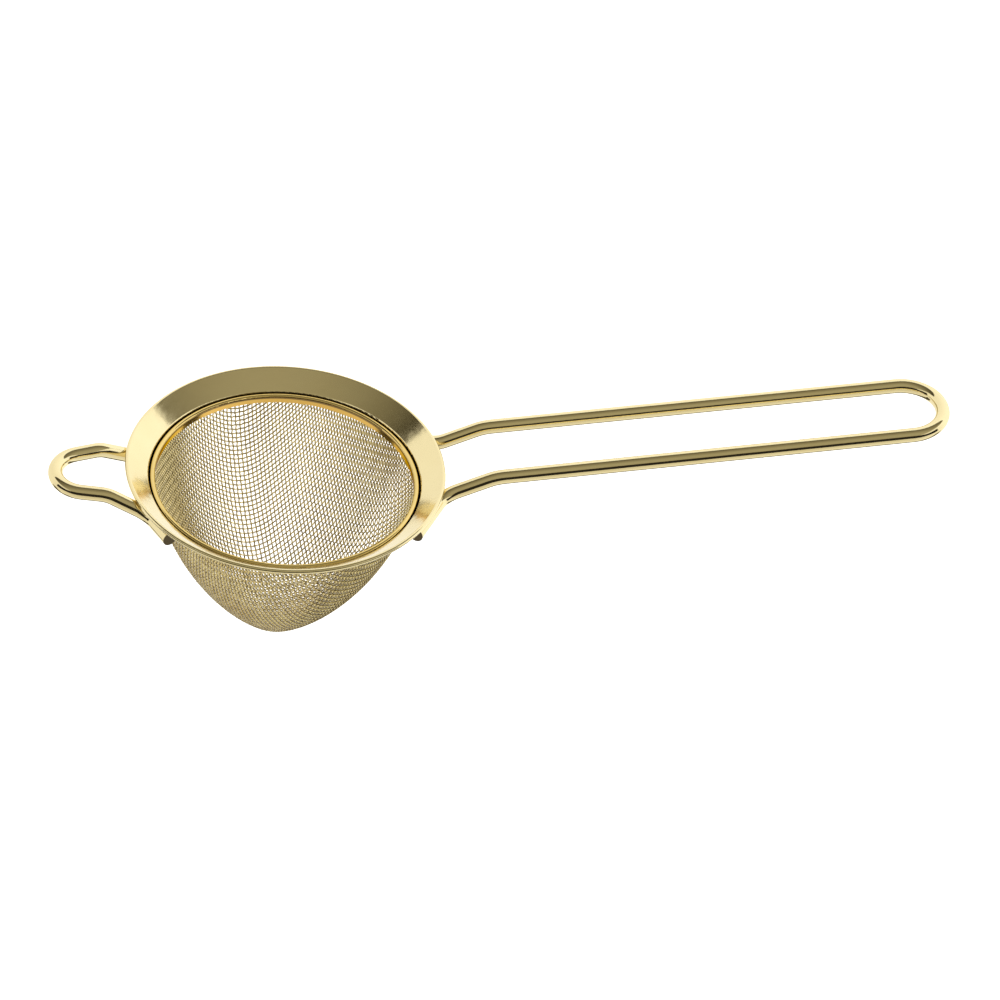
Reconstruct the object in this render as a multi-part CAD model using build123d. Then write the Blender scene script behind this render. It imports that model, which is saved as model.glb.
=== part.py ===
from build123d import *
from math import acos, atan2, cos, degrees, hypot, radians, sin, sqrt, tan
import os

# A conical fine-mesh cocktail strainer of gold-plated stainless steel.
#
# Frame, in millimetres: the origin is the centre of the rim's top plane. +Z points up
# out of the bowl, the mesh cone hangs below, and +X runs along the handle to its far
# end. The strainer is the same on both sides of the XZ plane.
#
# The ring parts are cross-sections drawn in the XZ plane and revolved about Z. The
# wires are round bar along straight runs joined by tangent arcs.

# ---------------------------------------------------------------- driving dimensions

# rim band: one stamped ring, from a rolled outer edge down a funnel slope to a shoulder,
# then straight down to a fold, where the sheet turns up into a short flange
RIM_RADIUS = 43.0          # outside of the rolled edge
ROLL_DIAMETER = 1.3        # outside of the roll
ROLL_END_ANGLE = -155.0    # where the curled sheet stops, in degrees from outwards
BAND_SHEET = 0.4
BAND_SLOPE = 38.0          # degrees below level
BAND_WIDTH = 8.2           # level, from the mouth's edge to the outside of the roll
SHOULDER_BEND = 0.45       # middle-line radius where the slope turns down
WALL_DROP = 0.95           # straight wall between the shoulder and the fold
CLAMP_GAP = 0.35           # dark groove between that wall and the clamp ring

# clamp ring: a crimped channel that grips the cloth's skirt against the flange
CLAMP_SHEET = 0.3
CLAMP_OUTER_LEG = 0.53     # straight part of the leg that stands in the fold
CLAMP_INNER_LEG = 1.6      # straight part of the leg that shows in the mouth

# mesh cone: woven cloth pressed to a rounded cone
CLOTH_THICKNESS = 0.45
CONE_DEPTH = 57.0          # from the rim's top plane to the outside of the tip
TIP_RADIUS = 9.0           # outside of the rounded tip
SIDE_RADIUS = 89.0         # outside of the gently bulging side
SKIRT_BELOW_CLAMP = 0.2    # upright cloth that shows under the clamp ring

# wires
WIRE_DIAMETER = 4.0
WELD_GAP = 0.1             # between a wire's tail and the band, filled by the weld
RIM_CLEARANCE = 0.8        # between the handle and the rolled edge that it passes under

# handle: a long loop with two straight legs
HANDLE_REACH = 138.0       # from the rim to the middle line of the end bend
HANDLE_HALF_SPACING = 10.6
HANDLE_RISE = 4.5          # degrees that the straight legs climb
HANDLE_KNEE_GAP = 10.5     # from the rim to the wire, where the straight climb starts
HANDLE_KNEE_Z = 1.65
HANDLE_TAIL_ANGLE = 34.0   # from the handle's direction to where a tail is welded
HANDLE_TAIL_INSET = 2.6    # from the rim in to the tail's middle line there
HANDLE_TAIL_PAST = 3.4     # tail left beyond that point
HANDLE_END_BEND = 10.5
HANDLE_KNEE_BEND = 14.0
HANDLE_HIP_BEND = 7.0

# rest: a short loop that hooks over the far edge of a glass
REST_REACH = 18.6          # from the rim to the middle line of the end bend
REST_END_HALF_WIDTH = 6.4  # of the end, where its corners would be if they were sharp
REST_FLARE = 13.1          # degrees that each leg spreads towards the rim
REST_KNEE_GAP = 3.8        # from the rim to the wire, where the legs turn down
REST_Z = 0.1
REST_TAIL_ANGLE = 24.0     # from the rest's direction to where a tail is welded
REST_TAIL_INSET = 3.5
REST_TAIL_PAST = 6.5
REST_END_BEND = 8.0
REST_KNEE_BEND = 7.0
REST_HIP_BEND = 6.5

# welds: one nugget where each tail lies against the band
WELD_RADIUS = 1.25
WELD_LENGTH = 4.6

# -------------------------------------------------------------------- derived places

WIRE_RADIUS = WIRE_DIAMETER / 2
HANDLE_KNEE_X = RIM_RADIUS + HANDLE_KNEE_GAP + WIRE_RADIUS
HANDLE_END_X = RIM_RADIUS + HANDLE_REACH
HANDLE_TAIL_RADIUS = RIM_RADIUS - HANDLE_TAIL_INSET
REST_KNEE_X = -RIM_RADIUS - REST_KNEE_GAP - WIRE_RADIUS
REST_END_X = -RIM_RADIUS - REST_REACH
REST_TAIL_RADIUS = RIM_RADIUS - REST_TAIL_INSET
ROLL_RADIUS = ROLL_DIAMETER / 2
HALF_SHEET = BAND_SHEET / 2
ROLL_X = RIM_RADIUS - ROLL_RADIUS
ROLL_Z = -ROLL_RADIUS

# unit step square to the slope, out and down from its underside
BELOW_X = sin(radians(BAND_SLOPE))
BELOW_Z = -cos(radians(BAND_SLOPE))

# radii through the crimped joint, from the mouth outwards
OPENING_RADIUS = RIM_RADIUS - BAND_WIDTH
CLAMP_INNER_FACE = OPENING_RADIUS + CLAMP_SHEET
CLOTH_OUTER_FACE = CLAMP_INNER_FACE + CLOTH_THICKNESS
FLANGE_OUTER_FACE = CLOTH_OUTER_FACE + BAND_SHEET
CLAMP_OUTER_RADIUS = FLANGE_OUTER_FACE + CLAMP_SHEET


def slope_z(radius, below=0.0):
    """Height of the sloping sheet's middle, or of a line that far below it."""
    reach = ROLL_RADIUS - HALF_SHEET - below
    start_x = ROLL_X - reach * BELOW_X
    start_z = ROLL_Z - reach * BELOW_Z
    return start_z - (start_x - radius) * tan(radians(BAND_SLOPE))


# the fold is a half turn that leaves room for the clamp's outer leg and the gap
FOLD_BEND = (CLAMP_SHEET + CLAMP_GAP + BAND_SHEET) / 2
FOLD_X = CLOTH_OUTER_FACE + HALF_SHEET + FOLD_BEND

# the shoulder's arc is tangent to the slope and to the wall that drops to the fold
SHOULDER_X = FOLD_X + FOLD_BEND + SHOULDER_BEND
SHOULDER_Z = slope_z(SHOULDER_X, below=SHOULDER_BEND)
FOLD_Z = SHOULDER_Z - WALL_DROP

# the clamp's crown is a half round, and the flange and the cloth end where it springs
CROWN_RADIUS = (CLAMP_OUTER_RADIUS - OPENING_RADIUS) / 2
CROWN_X = (CLAMP_OUTER_RADIUS + OPENING_RADIUS) / 2
CROWN_Z = FOLD_Z + CLAMP_OUTER_LEG
CLAMP_LOW_Z = CROWN_Z - CLAMP_INNER_LEG


def seated_z(radius):
    """Height of a wire's middle line where the wire lies under the band."""
    return slope_z(radius, below=HALF_SHEET + WELD_GAP + WIRE_RADIUS)


# --------------------------------------------------------------------------- helpers


def at(x, z):
    """Point of a cross-section: distance from the Z axis, and height."""
    return Vector(x, 0, z)


def arc_about(x, z, radius, start, end):
    """Arc of a cross-section about (x, z), between two angles from outwards."""
    angles = [radians(start), radians((start + end) / 2), radians(end)]
    return ThreePointArc(*[at(x + radius * cos(a), z + radius * sin(a)) for a in angles])


def ring(edges):
    """Solid of revolution about the Z axis with a closed outline of edges."""
    return revolve(make_face(Wire(edges)), Axis.Z, 360)


def outline_through(*pieces):
    """Closed list of edges: the given arcs, in order, joined by straight lines."""
    edges = []
    for index, piece in enumerate(pieces):
        following = pieces[(index + 1) % len(pieces)]
        edges.append(piece)
        if (piece @ 1 - following @ 0).length > 1e-6:
            edges.append(Line(piece @ 1, following @ 0))
    return edges


# -------------------------------------------------------------------- sheet and cloth


def rim_band():
    """Rolled edge, funnel slope, shoulder, wall, fold and flange of one even sheet."""
    slope_up = 90 + BAND_SLOPE
    return ring(outline_through(
        arc_about(ROLL_X, ROLL_Z, ROLL_RADIUS, ROLL_END_ANGLE, slope_up),
        arc_about(SHOULDER_X, SHOULDER_Z, SHOULDER_BEND + HALF_SHEET, slope_up, 180),
        arc_about(FOLD_X, FOLD_Z, FOLD_BEND - HALF_SHEET, 0, -180),
        Line(at(FLANGE_OUTER_FACE, CROWN_Z), at(CLOTH_OUTER_FACE, CROWN_Z)),
        arc_about(FOLD_X, FOLD_Z, FOLD_BEND + HALF_SHEET, -180, 0),
        arc_about(SHOULDER_X, SHOULDER_Z, SHOULDER_BEND - HALF_SHEET, 180, slope_up),
        arc_about(ROLL_X, ROLL_Z, ROLL_RADIUS - BAND_SHEET, slope_up, ROLL_END_ANGLE),
    ))


def clamp_ring():
    """Crimped channel: long inner leg, round crown and short outer leg."""
    foot_z = CROWN_Z - CLAMP_OUTER_LEG
    return ring(outline_through(
        Line(at(CLAMP_INNER_FACE, CLAMP_LOW_Z), at(OPENING_RADIUS, CLAMP_LOW_Z)),
        arc_about(CROWN_X, CROWN_Z, CROWN_RADIUS, 180, 0),
        Line(at(CLAMP_OUTER_RADIUS, foot_z), at(FLANGE_OUTER_FACE, foot_z)),
        arc_about(CROWN_X, CROWN_Z, CROWN_RADIUS - CLAMP_SHEET, 0, 180),
    ))


def side_centre(top_x, top_z):
    """Centre of the cone's side: an arc from its top that meets the tip at a tangent."""
    tip_z = TIP_RADIUS - CONE_DEPTH
    across = hypot(top_x, top_z - tip_z)
    to_tip = SIDE_RADIUS - TIP_RADIUS
    along = (SIDE_RADIUS**2 - to_tip**2 + across**2) / (2 * across)
    aside = sqrt(SIDE_RADIUS**2 - along**2)
    step_x = -top_x / across
    step_z = (tip_z - top_z) / across
    return at(top_x + along * step_x + aside * step_z, top_z + along * step_z - aside * step_x)


def mesh_cone():
    """Closed shell of the pressed cloth, from the clamped skirt to the tip."""
    top_z = CLAMP_LOW_Z - SKIRT_BELOW_CLAMP
    tip_z = TIP_RADIUS - CONE_DEPTH
    centre = side_centre(CLOTH_OUTER_FACE, top_z)
    start = degrees(atan2(top_z - centre.Z, CLOTH_OUTER_FACE - centre.X))
    meet = degrees(atan2(tip_z - centre.Z, -centre.X))
    inner_side = SIDE_RADIUS - CLOTH_THICKNESS
    inner_tip = TIP_RADIUS - CLOTH_THICKNESS
    inner_start = -degrees(acos((CLAMP_INNER_FACE - centre.X) / inner_side))
    return ring(outline_through(
        Line(at(CLAMP_INNER_FACE, CROWN_Z), at(CLOTH_OUTER_FACE, CROWN_Z)),
        arc_about(centre.X, centre.Z, SIDE_RADIUS, start, meet),
        arc_about(0, tip_z, TIP_RADIUS, meet, -90),
        arc_about(0, tip_z, inner_tip, -90, meet),
        arc_about(centre.X, centre.Z, inner_side, meet, inner_start),
    ))


# ----------------------------------------------------------------------------- wires


def tail_foot(angle, radius):
    """Middle of a wire's tail where it lies against the band, on the +Y side."""
    return Vector(radius * cos(radians(angle)), radius * sin(radians(angle)), seated_z(radius))


def bent_wire(half_route, half_bends):
    """Round bar along a route and its mirror image, with a bend at every corner.

    The half route runs on the +Y side from the tail's cut end to the corner of the end
    bend. half_bends holds one middle-line radius for each corner after the cut end.
    """
    other_half = [Vector(p.X, -p.Y, p.Z) for p in reversed(half_route)]
    bends = half_bends + half_bends[::-1]
    path = FilletPolyline(*half_route, *other_half, radius=bends)
    return sweep(Plane(origin=path @ 0, z_dir=path % 0) * Circle(WIRE_RADIUS), path=path)


def handle_wire():
    """Long loop: welded tails, hips under the rim, knees, and straight climbing legs."""
    foot = tail_foot(HANDLE_TAIL_ANGLE, HANDLE_TAIL_RADIUS)
    to_hip = (foot.Y - HANDLE_HALF_SPACING) / cos(radians(HANDLE_TAIL_ANGLE))
    hip = Vector(
        foot.X + to_hip * sin(radians(HANDLE_TAIL_ANGLE)),
        HANDLE_HALF_SPACING,
        -ROLL_DIAMETER - WIRE_RADIUS - RIM_CLEARANCE,
    )
    end_z = HANDLE_KNEE_Z + (HANDLE_END_X - HANDLE_KNEE_X) * tan(radians(HANDLE_RISE))
    route = [
        foot + (foot - hip).normalized() * HANDLE_TAIL_PAST,
        hip,
        Vector(HANDLE_KNEE_X, HANDLE_HALF_SPACING, HANDLE_KNEE_Z),
        Vector(HANDLE_END_X, HANDLE_HALF_SPACING, end_z),
    ]
    return bent_wire(route, [HANDLE_HIP_BEND, HANDLE_KNEE_BEND, HANDLE_END_BEND])


def rest_wire():
    """Short loop: welded tails, hips under the rim, and legs that close to a round end."""
    tail = tail_foot(REST_TAIL_ANGLE, REST_TAIL_RADIUS)
    foot = Vector(-tail.X, tail.Y, tail.Z)
    flare = tan(radians(REST_FLARE))
    tail_cos = cos(radians(REST_TAIL_ANGLE))
    tail_sin = sin(radians(REST_TAIL_ANGLE))
    apart = foot.Y - REST_END_HALF_WIDTH - (foot.X - REST_END_X) * flare
    to_hip = apart / (tail_cos - tail_sin * flare)
    hip = foot - Vector(tail_sin, tail_cos, 0) * to_hip
    knee_y = REST_END_HALF_WIDTH + (REST_KNEE_X - REST_END_X) * flare
    route = [
        foot + (foot - hip).normalized() * REST_TAIL_PAST,
        hip,
        Vector(REST_KNEE_X, knee_y, REST_Z),
        Vector(REST_END_X, REST_END_HALF_WIDTH, REST_Z),
    ]
    return bent_wire(route, [REST_HIP_BEND, REST_KNEE_BEND, REST_END_BEND])


def weld_nugget(direction, angle, radius, band, wire):
    """Weld metal between a tail and the band, on the +Y side.

    direction is 1 for the handle's tails and -1 for the rest's. The nugget is a round
    ended bar along the line of contact, less the two pieces that it joins and less what
    stands out above the band.
    """
    to_contact = WIRE_RADIUS + WELD_GAP / 2
    contact_radius = radius - to_contact * BELOW_X
    contact_z = seated_z(radius) - to_contact * BELOW_Z
    spot = Vector(
        direction * contact_radius * cos(radians(angle)),
        contact_radius * sin(radians(angle)),
        contact_z,
    )
    along = Vector(direction * sin(radians(angle)), -cos(radians(angle)), 0)
    straight = WELD_LENGTH - 2 * WELD_RADIUS
    bar = Cylinder(WELD_RADIUS, straight)
    bar += Pos(0, 0, straight / 2) * Sphere(WELD_RADIUS)
    bar += Pos(0, 0, -straight / 2) * Sphere(WELD_RADIUS)
    nugget = Plane(origin=spot, z_dir=along) * bar - band - wire
    return nugget.solids().sort_by(Axis.Z)[0]


# -------------------------------------------------------------------------- assembly


def build():
    """Every piece of the strainer, by node name."""
    band = rim_band()
    handle = handle_wire()
    rest = rest_wire()
    handle_weld = weld_nugget(1, HANDLE_TAIL_ANGLE, HANDLE_TAIL_RADIUS, band, handle)
    rest_weld = weld_nugget(-1, REST_TAIL_ANGLE, REST_TAIL_RADIUS, band, rest)
    return {
        "rim_band": band,
        "mesh_clamp_ring": clamp_ring(),
        "mesh_cone": mesh_cone(),
        "handle_wire": handle,
        "rest_wire": rest,
        "handle_weld_left": handle_weld,
        "handle_weld_right": mirror(handle_weld, about=Plane.XZ),
        "rest_weld_left": rest_weld,
        "rest_weld_right": mirror(rest_weld, about=Plane.XZ),
    }


os.makedirs("parts", exist_ok=True)
for node, piece in build().items():
    export_step(piece, f"parts/{node}.step")
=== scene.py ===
from math import acos, atan2, ceil, cos, hypot, pi, radians, sin, sqrt, tan

import bpy
from mathutils import Matrix, Vector


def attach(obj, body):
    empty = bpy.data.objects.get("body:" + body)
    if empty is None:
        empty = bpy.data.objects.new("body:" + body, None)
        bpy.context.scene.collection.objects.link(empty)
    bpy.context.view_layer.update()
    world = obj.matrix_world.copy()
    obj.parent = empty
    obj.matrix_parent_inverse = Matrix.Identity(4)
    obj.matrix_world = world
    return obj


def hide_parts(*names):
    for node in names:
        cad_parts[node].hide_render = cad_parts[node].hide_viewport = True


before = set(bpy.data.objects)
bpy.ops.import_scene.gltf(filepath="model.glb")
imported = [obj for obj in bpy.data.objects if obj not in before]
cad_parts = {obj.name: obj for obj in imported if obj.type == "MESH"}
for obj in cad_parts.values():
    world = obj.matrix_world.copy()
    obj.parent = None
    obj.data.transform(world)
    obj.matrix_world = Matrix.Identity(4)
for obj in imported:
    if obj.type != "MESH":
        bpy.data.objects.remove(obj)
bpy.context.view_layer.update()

# A conical fine-mesh cocktail strainer in pale gold plating, in metres.
#
# The rim band, clamp ring, wires and welds are the frame's own solids with finished
# materials. The cone is woven here from separate wires and stands for mesh_cone.
# Some tints are placed by position on the object: in the groove, on the clamp ring, on the
# flanks of the cloth's wires and on the cut wire ends. They stand in for darkness and
# reflections there and don't follow from how the metal was made.

MM = 0.001
ROOT = "root"


# ------------------------------------------------------------- sizes shared with CAD
# millimetres, as in the part's source

RIM_RADIUS = 43.0
ROLL_DIAMETER = 1.3
BAND_SHEET = 0.4
BAND_SLOPE = 38.0
BAND_WIDTH = 8.2
SHOULDER_BEND = 0.45
WALL_DROP = 0.95
CLAMP_GAP = 0.35
CLAMP_SHEET = 0.3
CLAMP_OUTER_LEG = 0.53
CLAMP_INNER_LEG = 1.6
CLOTH_THICKNESS = 0.45
CONE_DEPTH = 57.0
TIP_RADIUS = 9.0
SIDE_RADIUS = 89.0
SKIRT_BELOW_CLAMP = 0.2
HANDLE_TAIL_ANGLE = 34.0
HANDLE_TAIL_PAST = 3.4
REST_TAIL_ANGLE = 24.0
REST_TAIL_PAST = 6.5

# ------------------------------------------------------------------- woven cloth

PITCH = 1.25              # between neighbouring wires, about 20 wires to the inch
CLOTH_WIRE = 0.42         # diameter of one wire
SIDES = 6                 # of a wire's section
STEPS = 4                 # sections from one crossing to the next
WEAVE_TURN = 13.0         # degrees from +X to the first wire that crosses the tip
CRIMPED_HEIGHT = 0.40     # share of the weave's height left where the clamp grips it
CRIMP_FADE = 2.5          # length over which the cloth flattens into the clamp
HIDDEN_IN_CLAMP = 0.9     # how far the wires run up behind the clamp's low edge
SOLVER_ROUNDS = 30        # at most, for the place of one crossing
SOLVER_NUDGE = 1e-5       # step for measuring slopes
SOLVER_MISS = 1e-7        # millimetres off the pitch that count as none

# ------------------------------------------------------------------- camera

LENS = 144.0
SENSOR = 36.0
CAMERA_DISTANCE = 1072.8
CAMERA_AZIMUTH = -10.5    # degrees round from -Y towards +X
CAMERA_ELEVATION = 39.83
CAMERA_ROLL = 7.04
CAMERA_TARGET = (59.94, 0.0, -15.57)
CLIP_NEAR = 0.05          # metres
CLIP_FAR = 60.0

# ------------------------------------------------------------------- studio

STAGE_SIZE = 12.0         # metres
FLOOR_DEPTH = 0.3         # below the rim, clear of the cone's tip
PANEL_HEIGHT = 2.0        # of the overhead panel above the rim
PANEL_BACK = (0.06, 0.053, 0.035)
PANEL_FRONT = (0.37, 0.345, 0.26)
BELOW_BACK = (0.10, 0.09, 0.06)
BELOW_FRONT = (0.06, 0.055, 0.04)
FLAG_BLACK = (0.02, 0.018, 0.014)
FLAG_LOW = -0.45          # this and the next four in panel heights
FLAG_HIGH = 1.0
FLAG_NEAR = 1.95
FLAG_BACK = 0.4
FLAG_ASIDE = 2.6
FLOOR_GREY = (0.9, 0.9, 0.9)
WORLD_LEFT = (0.95, 0.94, 0.92)
WORLD_RIGHT = (1.13, 1.14, 1.16)
WORLD_NEAR = (0.68, 0.65, 0.57)

# ------------------------------------------------------------------- finishes
# linear colours of the metal where it mirrors white, and of the painted shade and painted
# reflections placed on it

WHITE = (1.0, 1.0, 1.0)
GOLD = (0.95, 0.82, 0.47)
GOLD_WORN = (0.90, 0.75, 0.40)
CLAMP_GOLD = (0.88, 0.67, 0.26)
CLAMP_WORN = (0.80, 0.58, 0.20)
# painted reflection: amber on the clamp ring's inner leg below the brown line
AMBER_PAINTED_REFLECTION = (0.90, 0.57, 0.15)
# painted shade: a brown line inside the clamp ring under its crown; the clamp's grazing
# reflections take the same brown
CREASE_SHADE_BROWN = (0.30, 0.20, 0.08)
# painted shade: darkness in the narrow groove between the band and the clamp ring
GROOVE_PAINTED_SHADE = (0.045, 0.032, 0.012)
CLOTH_GOLD = (1.0, 0.82, 0.37)
CLOTH_DULL = (0.80, 0.58, 0.22)
# painted shade: dark flanks on the cloth's wires, beside their bright ridges
CLOTH_FLANK_SHADE = (0.16, 0.10, 0.02)
# painted shade: dark on the cut faces of the wire tails
CUT_END_SHADE = (0.13, 0.10, 0.055)
WELD_GOLD = (0.30, 0.24, 0.13)
WELD_DARK = (0.05, 0.038, 0.018)

MARKS_ROUND_RING = 0.0006  # metres for each radian, so that marks run long round the ring
MARKS_ALONG_WIRE = 0.04    # share of X that is kept, so that marks run long along the wire
RIPPLE = 0.00004           # metres, of the bump under a polished face
MARK_DEPTH = 0.0000014     # metres, of the polish marks
MASK_EDGE = 0.08           # millimetres over which a tint on the clamp ring fades
CREASE_TOP = 0.25          # heights above where the clamp ring's crown springs
CREASE_LOW = -0.30
LIP_LOW = -3.0


# ------------------------------------------------------------------- node helpers


class Nodes:
    """Short names for building one node tree."""

    def __init__(self, tree):
        self.tree = tree
        tree.nodes.clear()

    def add(self, kind, **settings):
        node = self.tree.nodes.new("ShaderNode" + kind)
        for name, value in settings.items():
            setattr(node, name, value)
        return node

    def link(self, source, target):
        self.tree.links.new(source, target)

    def feed(self, socket, value):
        """Sets a socket to a number or colour, or links it to another socket."""
        if isinstance(value, bpy.types.NodeSocket):
            self.link(value, socket)
        else:
            socket.default_value = value

    def math(self, operation, *values):
        node = self.add("Math", operation=operation)
        for socket, value in zip(node.inputs, values):
            self.feed(socket, value)
        return node.outputs[0]

    def spread(self, value, low, high, to_low=0.0, to_high=1.0):
        """Maps a value from one range to another, clamped."""
        node = self.add("MapRange", clamp=True)
        for socket, number in zip(node.inputs, (value, low, high, to_low, to_high)):
            self.feed(socket, number)
        return node.outputs[0]

    def noise(self, vector, scale, detail=2.0, roughness=0.5):
        node = self.add("TexNoise")
        self.feed(node.inputs["Vector"], vector)
        node.inputs["Scale"].default_value = scale
        node.inputs["Detail"].default_value = detail
        node.inputs["Roughness"].default_value = roughness
        return node.outputs["Fac"]

    def mix(self, share, first, second):
        node = self.add("Mix", data_type="RGBA")
        self.feed(node.inputs["Factor"], share)
        colours = [socket for socket in node.inputs if socket.type == "RGBA"]
        self.feed(colours[0], first)
        self.feed(colours[1], second)
        return next(socket for socket in node.outputs if socket.type == "RGBA")

    def bump(self, height, distance, strength=1.0, under=None):
        node = self.add("Bump")
        node.inputs["Strength"].default_value = strength
        node.inputs["Distance"].default_value = distance
        self.feed(node.inputs["Height"], height)
        if under is not None:
            self.link(under, node.inputs["Normal"])
        return node.outputs["Normal"]


def opaque(colour):
    return (*colour, 1.0)


def new_material(name):
    material = bpy.data.materials.new(name)
    material.use_nodes = True
    return material, Nodes(material.node_tree)


def radius_and_height(nodes, place):
    """Distance from the Z axis and height, as two sockets."""
    split = nodes.add("SeparateXYZ")
    nodes.link(place, split.inputs[0])
    x, y, z = split.outputs
    squares = nodes.math("ADD", nodes.math("MULTIPLY", x, x), nodes.math("MULTIPLY", y, y))
    return nodes.math("SQRT", squares), z


def ring_direction(nodes, place):
    """Coordinates that run round the Z axis, for marks left by turning and polishing."""
    radius, height = radius_and_height(nodes, place)
    split = nodes.add("SeparateXYZ")
    nodes.link(place, split.inputs[0])
    turn = nodes.math("ARCTAN2", split.outputs[1], split.outputs[0])
    joined = nodes.add("CombineXYZ")
    nodes.link(radius, joined.inputs[0])
    nodes.link(nodes.math("MULTIPLY", turn, MARKS_ROUND_RING), joined.inputs[1])
    nodes.link(height, joined.inputs[2])
    return joined.outputs[0]


def along_handle(nodes, place):
    """Coordinates squeezed along X, for marks left by drawing the wire."""
    node = nodes.add("Mapping")
    node.inputs["Scale"].default_value = (MARKS_ALONG_WIRE, 1.0, 1.0)
    nodes.link(place, node.inputs["Vector"])
    return node.outputs[0]


def groove_wall_shade(nodes, place):
    """1 on the band's wall and fold, which face the clamp ring across the groove, where shade is
    painted dark.
    """
    radius, _ = radius_and_height(nodes, place)
    wall = OUTLINE["cloth_outer"] + BAND_SHEET + CLAMP_SHEET + CLAMP_GAP
    return nodes.spread(radius, (wall + 0.04) * MM, (wall + 0.01) * MM)


def groove_leg_shade(nodes, place):
    """1 on the clamp ring's outer leg, which stands in the groove, where shade is painted dark.
    """
    radius, height = radius_and_height(nodes, place)
    face = OUTLINE["cloth_outer"] + BAND_SHEET + CLAMP_SHEET
    spring = OUTLINE["fold_z"] + CLAMP_OUTER_LEG
    outside = nodes.spread(radius, (face - 0.04) * MM, (face - 0.02) * MM)
    under = nodes.spread(height, (spring + 0.05) * MM, spring * MM)
    return nodes.math("MULTIPLY", outside, under)


def clamp_leg(nodes, place, top, low):
    """1 on the inside of the clamp ring between two heights from where its crown springs."""
    radius, height = radius_and_height(nodes, place)
    spring = OUTLINE["fold_z"] + CLAMP_OUTER_LEG
    inside = OUTLINE["cloth_outer"] - CLOTH_THICKNESS - CLAMP_SHEET
    on_leg = nodes.spread(radius, (inside + 0.35) * MM, (inside + 0.15) * MM)
    top, low = spring + top, spring + low
    under = nodes.spread(height, (top + MASK_EDGE) * MM, (top - MASK_EDGE) * MM)
    over = nodes.spread(height, (low - MASK_EDGE) * MM, (low + MASK_EDGE) * MM)
    return nodes.math("MULTIPLY", on_leg, nodes.math("MULTIPLY", under, over))


def clamp_crease_shade(nodes, place):
    """1 on a line inside the clamp ring, just under its crown, where brown shade is painted."""
    return clamp_leg(nodes, place, CREASE_TOP, CREASE_LOW)


def clamp_lip_reflection(nodes, place):
    """1 on the clamp ring's inner leg below that line, where an amber reflection is painted."""
    return clamp_leg(nodes, place, CREASE_LOW, LIP_LOW)


def cut_end_shade(nodes, place, direction, angle, past):
    """1 on the cut face of a wire's tail and on the last trace of its side, where shade is
    painted dark.
    """
    split = nodes.add("SeparateXYZ")
    nodes.link(place, split.inputs[0])
    back = nodes.math("MULTIPLY", split.outputs[0], -direction * sin(radians(angle)))
    aside = nodes.math("MULTIPLY", nodes.math("ABSOLUTE", split.outputs[1]), cos(radians(angle)))
    reach = nodes.math("ADD", back, aside)
    return nodes.spread(reach, (past - 0.25) * MM, (past - 0.05) * MM)


def wire_flank_shade(nodes, place):
    """1 on the flanks of the cloth's wires, where shade is painted dark, with soft patches."""
    flank = nodes.add("Attribute", attribute_name="flank").outputs["Fac"]
    patchy = nodes.spread(nodes.noise(place, 500.0, 3.0), 0.3, 0.7, -0.15, 0.15)
    return nodes.spread(nodes.math("ADD", flank, patchy), 0.35, 0.90)


def handle_cut_shade(nodes, place):
    return cut_end_shade(nodes, place, 1, HANDLE_TAIL_ANGLE, HANDLE_TAIL_PAST)


def rest_cut_shade(nodes, place):
    return cut_end_shade(nodes, place, -1, REST_TAIL_ANGLE, REST_TAIL_PAST)


def plated(name, fresh, worn, smooth, rough, marks=None, patches=(), edge=WHITE):
    """Polished plated metal: tone, polish marks, ripple and fine specks.

    smooth and rough bound the roughness. patches are (mask, colour, roughness) for places
    where shade and reflections are painted in as a tint. edge is the colour that the metal
    mirrors at a grazing angle.
    """
    material, nodes = new_material(name)
    place = nodes.add("TexCoord").outputs["Object"]
    tone = nodes.spread(nodes.noise(place, 60.0, 3.0), 0.35, 0.7)
    clouds = nodes.spread(nodes.noise(place, 240.0, 4.0, 0.6), 0.3, 0.7)
    speck = nodes.spread(nodes.noise(place, 1400.0, 2.0), 0.76, 0.80)
    normal = nodes.bump(nodes.noise(place, 180.0, 2.0), RIPPLE)
    grain = clouds
    if marks is not None:
        grain = nodes.noise(marks(nodes, place), 9000.0, 3.0, 0.7)
        normal = nodes.bump(grain, MARK_DEPTH, 0.6, under=normal)
    worn_share = nodes.math("MAXIMUM", nodes.math("MULTIPLY", tone, 0.6), speck)
    colour = nodes.mix(worn_share, opaque(fresh), opaque(worn))
    blend = nodes.math("MULTIPLY", nodes.math("ADD", clouds, grain), 0.5)
    roughness = nodes.spread(blend, 0.2, 0.8, smooth, rough)
    for mask, patch, dullness in patches:
        share = mask(nodes, place)
        colour = nodes.mix(share, colour, opaque(patch))
        added = nodes.math("MULTIPLY", share, dullness)
        roughness = nodes.math("MAXIMUM", roughness, added)
    shader = nodes.add("BsdfPrincipled")
    shader.inputs["Metallic"].default_value = 1.0
    shader.inputs["Specular Tint"].default_value = opaque(edge)
    nodes.link(colour, shader.inputs["Base Color"])
    nodes.link(roughness, shader.inputs["Roughness"])
    nodes.link(normal, shader.inputs["Normal"])
    output = nodes.add("OutputMaterial")
    nodes.link(shader.outputs[0], output.inputs[0])
    return material


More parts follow.
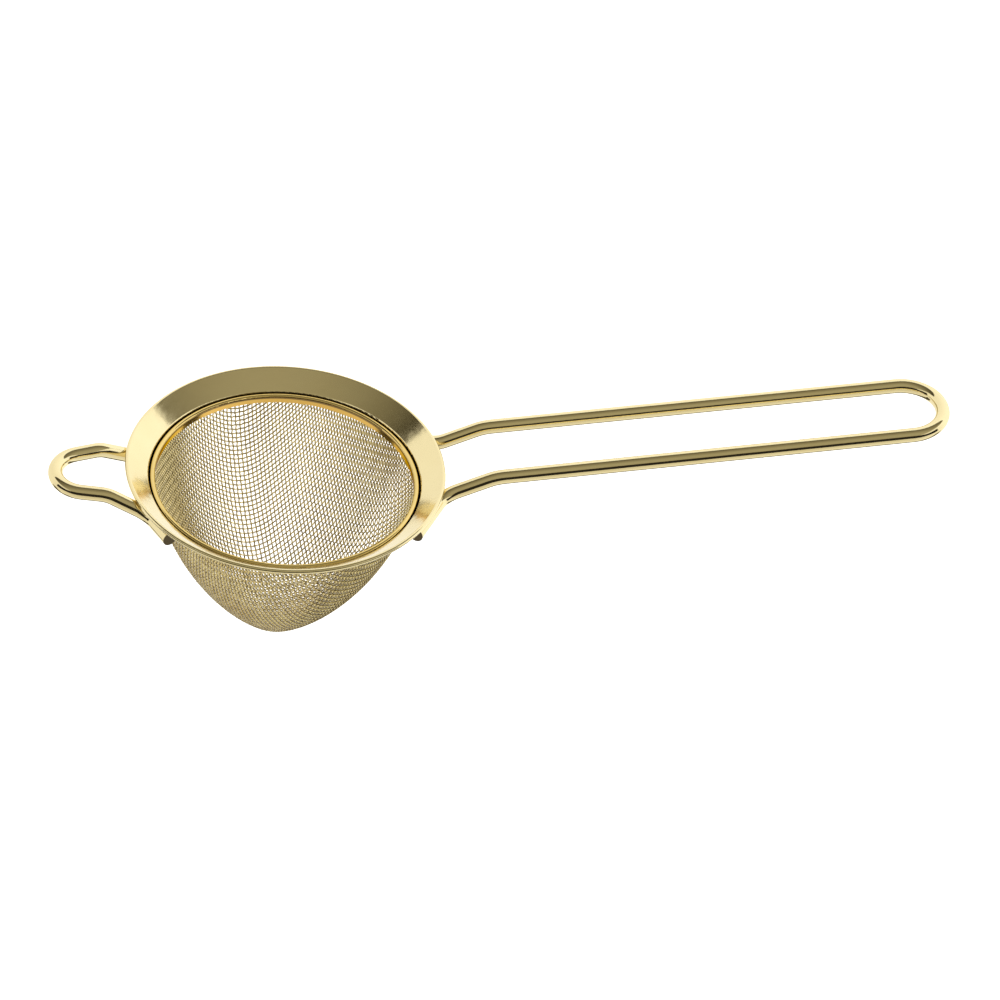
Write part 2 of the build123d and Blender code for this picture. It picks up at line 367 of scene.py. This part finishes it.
def weld_metal():
    """Plated weld: dull and pitted, in two tones."""
    material, nodes = new_material("weld_metal")
    place = nodes.add("TexCoord").outputs["Object"]
    tint = nodes.spread(nodes.noise(place, 900.0, 4.0, 0.6), 0.35, 0.65)
    pits = nodes.noise(place, 3500.0, 4.0, 0.65)
    shader = nodes.add("BsdfPrincipled")
    shader.inputs["Metallic"].default_value = 1.0
    nodes.link(nodes.mix(tint, opaque(WELD_GOLD), opaque(WELD_DARK)), shader.inputs["Base Color"])
    nodes.link(nodes.spread(pits, 0.3, 0.7, 0.28, 0.55), shader.inputs["Roughness"])
    nodes.link(nodes.bump(pits, 0.00012), shader.inputs["Normal"])
    output = nodes.add("OutputMaterial")
    nodes.link(shader.outputs[0], output.inputs[0])
    return material


# ------------------------------------------------------------------- the cone's form

HALF_CLOTH = CLOTH_THICKNESS / 2


def cone_outline():
    """Middle line of the cloth: tip arc, side arc and upright skirt, from the CAD sizes."""
    slope = radians(BAND_SLOPE)
    opening = RIM_RADIUS - BAND_WIDTH
    cloth_outer = opening + CLAMP_SHEET + CLOTH_THICKNESS
    reach = ROLL_DIAMETER / 2 - BAND_SHEET / 2 - SHOULDER_BEND
    slope_x = RIM_RADIUS - ROLL_DIAMETER / 2 - reach * sin(slope)
    slope_z = -ROLL_DIAMETER / 2 + reach * cos(slope)
    wall_x = cloth_outer + BAND_SHEET / 2 + CLAMP_SHEET + CLAMP_GAP + BAND_SHEET
    shoulder_x = wall_x + SHOULDER_BEND
    fold_z = slope_z - (slope_x - shoulder_x) * tan(slope) - WALL_DROP
    clamp_low = fold_z + CLAMP_OUTER_LEG - CLAMP_INNER_LEG
    top_z = clamp_low - SKIRT_BELOW_CLAMP
    tip_z = TIP_RADIUS - CONE_DEPTH
    across = hypot(cloth_outer, top_z - tip_z)
    to_tip = SIDE_RADIUS - TIP_RADIUS
    along = (SIDE_RADIUS**2 - to_tip**2 + across**2) / (2 * across)
    aside = sqrt(SIDE_RADIUS**2 - along**2)
    step_x = -cloth_outer / across
    step_z = (tip_z - top_z) / across
    centre_x = cloth_outer + along * step_x + aside * step_z
    centre_z = top_z + along * step_z - aside * step_x
    meet = atan2(tip_z - centre_z, -centre_x)
    skirt_radius = cloth_outer - HALF_CLOTH
    side = SIDE_RADIUS - HALF_CLOTH
    tip = TIP_RADIUS - HALF_CLOTH
    start = -acos((skirt_radius - centre_x) / side)
    return {
        "tip": tip, "tip_z": tip_z, "tip_turn": meet + pi / 2, "side": side, "start": start,
        "meet": meet, "centre_x": centre_x, "centre_z": centre_z, "skirt": skirt_radius,
        "tip_length": tip * (meet + pi / 2), "side_length": side * (start - meet),
        "clamp_low": clamp_low, "fold_z": fold_z, "cloth_outer": cloth_outer,
    }


OUTLINE = cone_outline()
SKIRT_START = OUTLINE["tip_length"] + OUTLINE["side_length"]
SKIRT_Z = OUTLINE["centre_z"] + OUTLINE["side"] * sin(OUTLINE["start"])
CLOTH_END = SKIRT_START + OUTLINE["clamp_low"] - SKIRT_Z + HIDDEN_IN_CLAMP


def on_outline(length):
    """Radius, height and outward normal of the cloth at a length from the tip."""
    shape = OUTLINE
    if length <= shape["tip_length"]:
        turn = length / shape["tip"] - pi / 2
        height = shape["tip_z"] + shape["tip"] * sin(turn)
        return shape["tip"] * cos(turn), height, cos(turn), sin(turn)
    if length <= SKIRT_START:
        turn = shape["meet"] + (length - shape["tip_length"]) / shape["side"]
        radius = shape["centre_x"] + shape["side"] * cos(turn)
        height = shape["centre_z"] + shape["side"] * sin(turn)
        return radius, height, cos(turn), sin(turn)
    return shape["skirt"], SKIRT_Z + length - SKIRT_START, 1.0, 0.0


def on_cone(length, azimuth):
    radius, height, _, _ = on_outline(length)
    return Vector((radius * cos(azimuth), radius * sin(azimuth), height))


def cone_normal(length, azimuth):
    _, _, level, upright = on_outline(length)
    return Vector((level * cos(azimuth), level * sin(azimuth), upright))


# ------------------------------------------------------------------- weaving


def next_crossing(first, second, corner):
    """The point one pitch from both neighbours, on the far side from the corner.

    A point is (length from the tip, azimuth). Newton's method in those two numbers.
    """
    a, b = on_cone(*first), on_cone(*second)
    guess = a + b - on_cone(*corner)
    length = max(first[0], second[0]) + 0.5 * PITCH
    azimuth = atan2(guess.y, guess.x)
    nudge = SOLVER_NUDGE
    for _ in range(SOLVER_ROUNDS):
        here = on_cone(length, azimuth)
        misses = ((here - a).length - PITCH, (here - b).length - PITCH)
        if max(abs(misses[0]), abs(misses[1])) < SOLVER_MISS:
            break
        further = on_cone(length + nudge, azimuth)
        round_by = on_cone(length, azimuth + nudge)
        l1 = ((further - a).length - PITCH - misses[0]) / nudge
        l2 = ((further - b).length - PITCH - misses[1]) / nudge
        t1 = ((round_by - a).length - PITCH - misses[0]) / nudge
        t2 = ((round_by - b).length - PITCH - misses[1]) / nudge
        scale = l1 * t2 - l2 * t1
        length -= (misses[0] * t2 - misses[1] * t1) / scale
        azimuth -= (l1 * misses[1] - l2 * misses[0]) / scale
    return length, azimuth


def weave_quarter():
    """Crossings of one quarter of the cloth, by their counts from the tip's two wires."""
    reach = ceil(CLOTH_END / PITCH) + 2
    net = {(0, 0): (0.0, pi / 4)}
    for count in range(1, reach + 1):
        net[count, 0] = (count * PITCH, 0.0)
        net[0, count] = (count * PITCH, pi / 2)
    for i in range(1, reach + 1):
        for j in range(1, reach + 1):
            neighbours = [net.get(key) for key in ((i - 1, j), (i, j - 1), (i - 1, j - 1))]
            if None in neighbours or neighbours[2][0] > CLOTH_END:
                continue
            net[i, j] = next_crossing(*neighbours)
    return net


def weave():
    """Crossings of the whole cloth, which repeats every quarter turn."""
    whole = {}
    for (i, j), (length, azimuth) in weave_quarter().items():
        for quarter in range(4):
            whole[i, j] = (length, azimuth + quarter * pi / 2 + radians(WEAVE_TURN))
            i, j = -j, i
    return whole


def wire_runs(net, family):
    """Each wire of one family as a list of its crossings, with +1 where it lies outside."""
    reach = max(key[0] for key in net)
    for fixed in range(-reach, reach + 1):
        run = []
        for moving in range(-reach, reach + 1):
            key = (fixed, moving) if family == 0 else (moving, fixed)
            if key in net:
                side = 1 if (key[0] + key[1] + family) % 2 == 0 else -1
                run.append((net[key], side))
        if len(run) > 1:
            yield run


def weave_height(length):
    """Half the wire's rise and fall, less where the clamp squeezes the cloth."""
    fade = min(1.0, max(0.0, (SKIRT_START - length) / CRIMP_FADE))
    return CLOTH_WIRE / 2 * (CRIMPED_HEIGHT + (1 - CRIMPED_HEIGHT) * fade)


def wire_line(run):
    """Middle line of a wire, with the surface normal at each of its points."""
    points = []
    for (start, start_side), (end, _) in zip(run, run[1:]):
        a, b = on_cone(*start), on_cone(*end)
        na, nb = cone_normal(*start), cone_normal(*end)
        sag = (b - a).length / 8 * (nb - na).length
        for step in range(STEPS):
            share = step / STEPS
            normal = na.lerp(nb, share).normalized()
            length = start[0] + (end[0] - start[0]) * share
            lift = weave_height(length) * start_side * cos(pi * share)
            bulge = 4 * sag * share * (1 - share)
            points.append((length, a.lerp(b, share) + normal * (lift + bulge), normal))
    (last, last_side) = run[-1]
    normal = cone_normal(*last)
    points.append((last[0], on_cone(*last) + normal * last_side * weave_height(last[0]), normal))
    return points


def kept_stretches(points):
    """The stretches of a wire below the cloth's edge, each cut at the edge itself."""
    stretch = []
    for before, after in zip(points, points[1:]):
        inside = before[0] <= CLOTH_END
        if inside:
            stretch.append(before[1:])
        if inside != (after[0] <= CLOTH_END):
            share = (CLOTH_END - before[0]) / (after[0] - before[0])
            edge = (before[1].lerp(after[1], share), before[2].lerp(after[2], share))
            stretch.append(edge)
            if inside:
                yield stretch
                stretch = []
    if points[-1][0] <= CLOTH_END:
        stretch.append(points[-1][1:])
    if len(stretch) > 1:
        yield stretch


def add_tube(stretch, vertices, faces):
    """A round wire with closed ends along a stretch."""
    first = len(vertices)
    last = len(stretch) - 1
    radius = CLOTH_WIRE / 2
    for index, (point, normal) in enumerate(stretch):
        ahead = stretch[min(index + 1, last)][0] - stretch[max(index - 1, 0)][0]
        ahead.normalize()
        aside = ahead.cross(normal).normalized()
        outward = aside.cross(ahead)
        for side in range(SIDES):
            turn = 2 * pi * side / SIDES
            vertices.append((point + (outward * cos(turn) + aside * sin(turn)) * radius) * MM)
    for index in range(last):
        low = first + index * SIDES
        for side in range(SIDES):
            following = (side + 1) % SIDES
            high = low + SIDES
            faces.append((low + side, low + following, high + following, high + side))
    faces.append(tuple(first + side for side in reversed(range(SIDES))))
    faces.append(tuple(first + last * SIDES + side for side in range(SIDES)))


def mark_flanks(mesh):
    """Stores how far each point lies round a cloth wire from its outer and inner ridge."""
    flank = mesh.attributes.new("flank", "FLOAT", "POINT")
    turns = [abs(sin(2 * pi * side / SIDES)) for side in range(SIDES)]
    flank.data.foreach_set("value", [turns[index % SIDES] for index in range(len(mesh.vertices))])


def build_mesh(name, vertices, faces, material):
    mesh = bpy.data.meshes.new(name)
    mesh.from_pydata(vertices, [], faces)
    mesh.materials.append(material)
    mesh.polygons.foreach_set("use_smooth", [True] * len(mesh.polygons))
    mark_flanks(mesh)
    mesh.update()
    piece = bpy.data.objects.new(name, mesh)
    bpy.context.scene.collection.objects.link(piece)
    return piece


def woven_cone(material):
    """The cloth's wires, shared out by family and side so that each mesh stays light.

    Reflections leave the cloth out, so the band, the clamp ring and the wires mirror the
    studio past it.
    """
    net = weave()
    for family, name in enumerate(("warp", "weft")):
        stretches = []
        for run in wire_runs(net, family):
            stretches.extend(kept_stretches(wire_line(run)))
        half = ceil(len(stretches) / 2)
        for part, share in enumerate((stretches[:half], stretches[half:])):
            vertices, faces = [], []
            for stretch in share:
                add_tube(stretch, vertices, faces)
            piece = build_mesh(f"mesh_{name}_wires_{part + 1}", vertices, faces, material)
            piece.visible_glossy = False
            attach(piece, ROOT)
            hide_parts("mesh_cone")


# ------------------------------------------------------------------- studio set


def camera_basis():
    """Level directions to the camera's right and towards the camera, from the object."""
    turn = radians(CAMERA_AZIMUTH)
    towards = Vector((sin(turn), -cos(turn), 0.0))
    return Vector((cos(turn), sin(turn), 0.0)), towards


def add_camera():
    turn, rise = radians(CAMERA_AZIMUTH), radians(CAMERA_ELEVATION)
    place = Vector((sin(turn) * cos(rise), -cos(turn) * cos(rise), sin(rise))) * CAMERA_DISTANCE
    aim = Vector(CAMERA_TARGET) - place
    data = bpy.data.cameras.new("camera")
    data.lens = LENS
    data.sensor_width = SENSOR
    data.clip_start = CLIP_NEAR
    data.clip_end = CLIP_FAR
    camera = bpy.data.objects.new("camera", data)
    camera.rotation_mode = "QUATERNION"
    camera.location = place * MM
    level = aim.to_track_quat("-Z", "Y")
    roll = Matrix.Rotation(radians(CAMERA_ROLL), 3, "Z").to_quaternion()
    camera.rotation_quaternion = level @ roll
    bpy.context.scene.collection.objects.link(camera)
    bpy.context.scene.camera = camera


def glow(name, low, high):
    """Staged card material: light that fades across the card, mostly over its depth."""
    material, nodes = new_material(name)
    split = nodes.add("SeparateXYZ")
    nodes.link(nodes.add("TexCoord").outputs["Generated"], split.inputs[0])
    sideways = nodes.math("MULTIPLY", split.outputs[0], 0.25)
    share = nodes.spread(nodes.math("ADD", split.outputs[1], sideways), 0.10, 0.60)
    light = nodes.add("Emission")
    nodes.link(nodes.mix(share, opaque(low), opaque(high)), light.inputs["Color"])
    output = nodes.add("OutputMaterial")
    nodes.link(light.outputs[0], output.inputs[0])
    return material


def card(name, corners, low, high):
    """Card seen only in reflections.

    Its corners count right of, towards and above the rim, from the camera's side, in
    panel heights.
    """
    aside, towards = camera_basis()
    mesh = bpy.data.meshes.new(name)
    mesh.from_pydata([Vector(corner) * PANEL_HEIGHT for corner in corners], [], [(0, 1, 2, 3)])
    mesh.materials.append(glow(name, low, high))
    plate = bpy.data.objects.new(name, mesh)
    plate.matrix_world = Matrix((
        (aside.x, towards.x, 0.0, 0.0),
        (aside.y, towards.y, 0.0, 0.0),
        (0.0, 0.0, 1.0, 0.0),
        (0.0, 0.0, 0.0, 1.0),
    ))
    plate.visible_camera = False
    plate.visible_shadow = False
    bpy.context.scene.collection.objects.link(plate)


def level_card(name, left, right, back, front, height, low, high):
    outline = [(left, back), (right, back), (right, front), (left, front)]
    card(name, [(x, y, height) for x, y in outline], low, high)


def add_cards():
    """Overhead panel, black flags on the camera's side, and a dark card underneath."""
    level_card("overhead_panel", -1.41, 1.41, -0.62, 1.95, 1.0, PANEL_BACK, PANEL_FRONT)
    corners = [
        (-FLAG_ASIDE, FLAG_NEAR, FLAG_LOW), (FLAG_ASIDE, FLAG_NEAR, FLAG_LOW),
        (FLAG_ASIDE, FLAG_NEAR, FLAG_HIGH), (-FLAG_ASIDE, FLAG_NEAR, FLAG_HIGH),
    ]
    card("black_flag_front", corners, FLAG_BLACK, FLAG_BLACK)
    for name, side in (("left", -FLAG_ASIDE), ("right", FLAG_ASIDE)):
        corners = [
            (side, FLAG_BACK, FLAG_LOW), (side, FLAG_NEAR, FLAG_LOW),
            (side, FLAG_NEAR, FLAG_HIGH), (side, FLAG_BACK, FLAG_HIGH),
        ]
        card(f"black_flag_{name}", corners, FLAG_BLACK, FLAG_BLACK)
    level_card("dark_below", -1.6, 1.6, -0.42, 0.05, -1.0, BELOW_BACK, BELOW_FRONT)


def add_floor():
    """Plain white floor, well below the object."""
    half = STAGE_SIZE / 2
    corners = [(-half, -half), (half, -half), (half, half), (-half, half)]
    mesh = bpy.data.meshes.new("floor")
    mesh.from_pydata([(x, y, -FLOOR_DEPTH) for x, y in corners], [], [(0, 1, 2, 3)])
    material, nodes = new_material("floor")
    place = nodes.add("TexCoord").outputs["Object"]
    shader = nodes.add("BsdfPrincipled")
    roughness = nodes.spread(nodes.noise(place, 4.0), 0.0, 1.0, 0.55, 0.65)
    nodes.link(roughness, shader.inputs["Roughness"])
    shader.inputs["Base Color"].default_value = opaque(FLOOR_GREY)
    shader.inputs["Emission Color"].default_value = opaque(WHITE)
    shader.inputs["Emission Strength"].default_value = 1.0
    output = nodes.add("OutputMaterial")
    nodes.link(shader.outputs[0], output.inputs[0])
    mesh.materials.append(material)
    floor = bpy.data.objects.new("floor", mesh)
    floor.visible_glossy = False
    bpy.context.scene.collection.objects.link(floor)


def add_world():
    """White all round, a little dimmer to the left and on the camera's side."""
    aside, towards = camera_basis()
    world = bpy.data.worlds.new("studio")
    world.use_nodes = True
    nodes = Nodes(world.node_tree)
    direction = nodes.add("TexCoord").outputs["Generated"]
    along = []
    for axis in (aside, towards):
        product = nodes.add("VectorMath", operation="DOT_PRODUCT")
        nodes.link(direction, product.inputs[0])
        product.inputs[1].default_value = axis
        along.append(product.outputs["Value"])
    rightness = nodes.spread(along[0], -0.6, 0.6)
    nearness = nodes.spread(along[1], -0.2, 0.9)
    behind = nodes.mix(rightness, opaque(WORLD_LEFT), opaque(WORLD_RIGHT))
    tinted = nodes.mix(nearness, behind, opaque(WORLD_NEAR))
    reflected = nodes.add("Background")
    nodes.link(tinted, reflected.inputs["Color"])
    seen = nodes.add("Background")
    seen.inputs["Color"].default_value = opaque(WHITE)
    choose = nodes.add("MixShader")
    nodes.link(nodes.add("LightPath").outputs["Is Camera Ray"], choose.inputs[0])
    nodes.link(reflected.outputs[0], choose.inputs[1])
    nodes.link(seen.outputs[0], choose.inputs[2])
    output = nodes.add("OutputWorld")
    nodes.link(choose.outputs[0], output.inputs[0])
    bpy.context.scene.world = world


# ------------------------------------------------------------------- build it


def finish_nodes():
    """Gives every carried-over CAD node its finished material."""
    # patches of painted shade and painted reflection on the band and the clamp ring
    band_patches = ((groove_wall_shade, GROOVE_PAINTED_SHADE, 0.5),)
    clamp_patches = (
        (clamp_lip_reflection, AMBER_PAINTED_REFLECTION, 0.16), (clamp_crease_shade, CREASE_SHADE_BROWN, 0.25),
        (groove_leg_shade, GROOVE_PAINTED_SHADE, 0.5),
    )
    finishes = {
        "rim_band": plated(
            "plated_sheet", GOLD, GOLD_WORN, 0.09, 0.15, ring_direction, band_patches),
        "mesh_clamp_ring": plated(
            "plated_clamp", CLAMP_GOLD, CLAMP_WORN, 0.06, 0.13, ring_direction, clamp_patches,
            CREASE_SHADE_BROWN),
        "handle_wire": plated(
            "plated_wire", GOLD, GOLD_WORN, 0.05, 0.11, along_handle,
            ((handle_cut_shade, CUT_END_SHADE, 0.5),)),
        "rest_wire": plated(
            "plated_rest_wire", GOLD, GOLD_WORN, 0.05, 0.11, along_handle,
            ((rest_cut_shade, CUT_END_SHADE, 0.5),)),
    }
    weld = weld_metal()
    for name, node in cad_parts.items():
        node.data.materials.clear()
        node.data.materials.append(finishes.get(name, weld))


bpy.context.scene.view_settings.view_transform = "Standard"
add_camera()
add_world()
add_floor()
add_cards()
finish_nodes()
woven_cone(plated(
    "plated_mesh", CLOTH_GOLD, CLOTH_DULL, 0.07, 0.16,
    patches=((wire_flank_shade, CLOTH_FLANK_SHADE, 0.2),)))
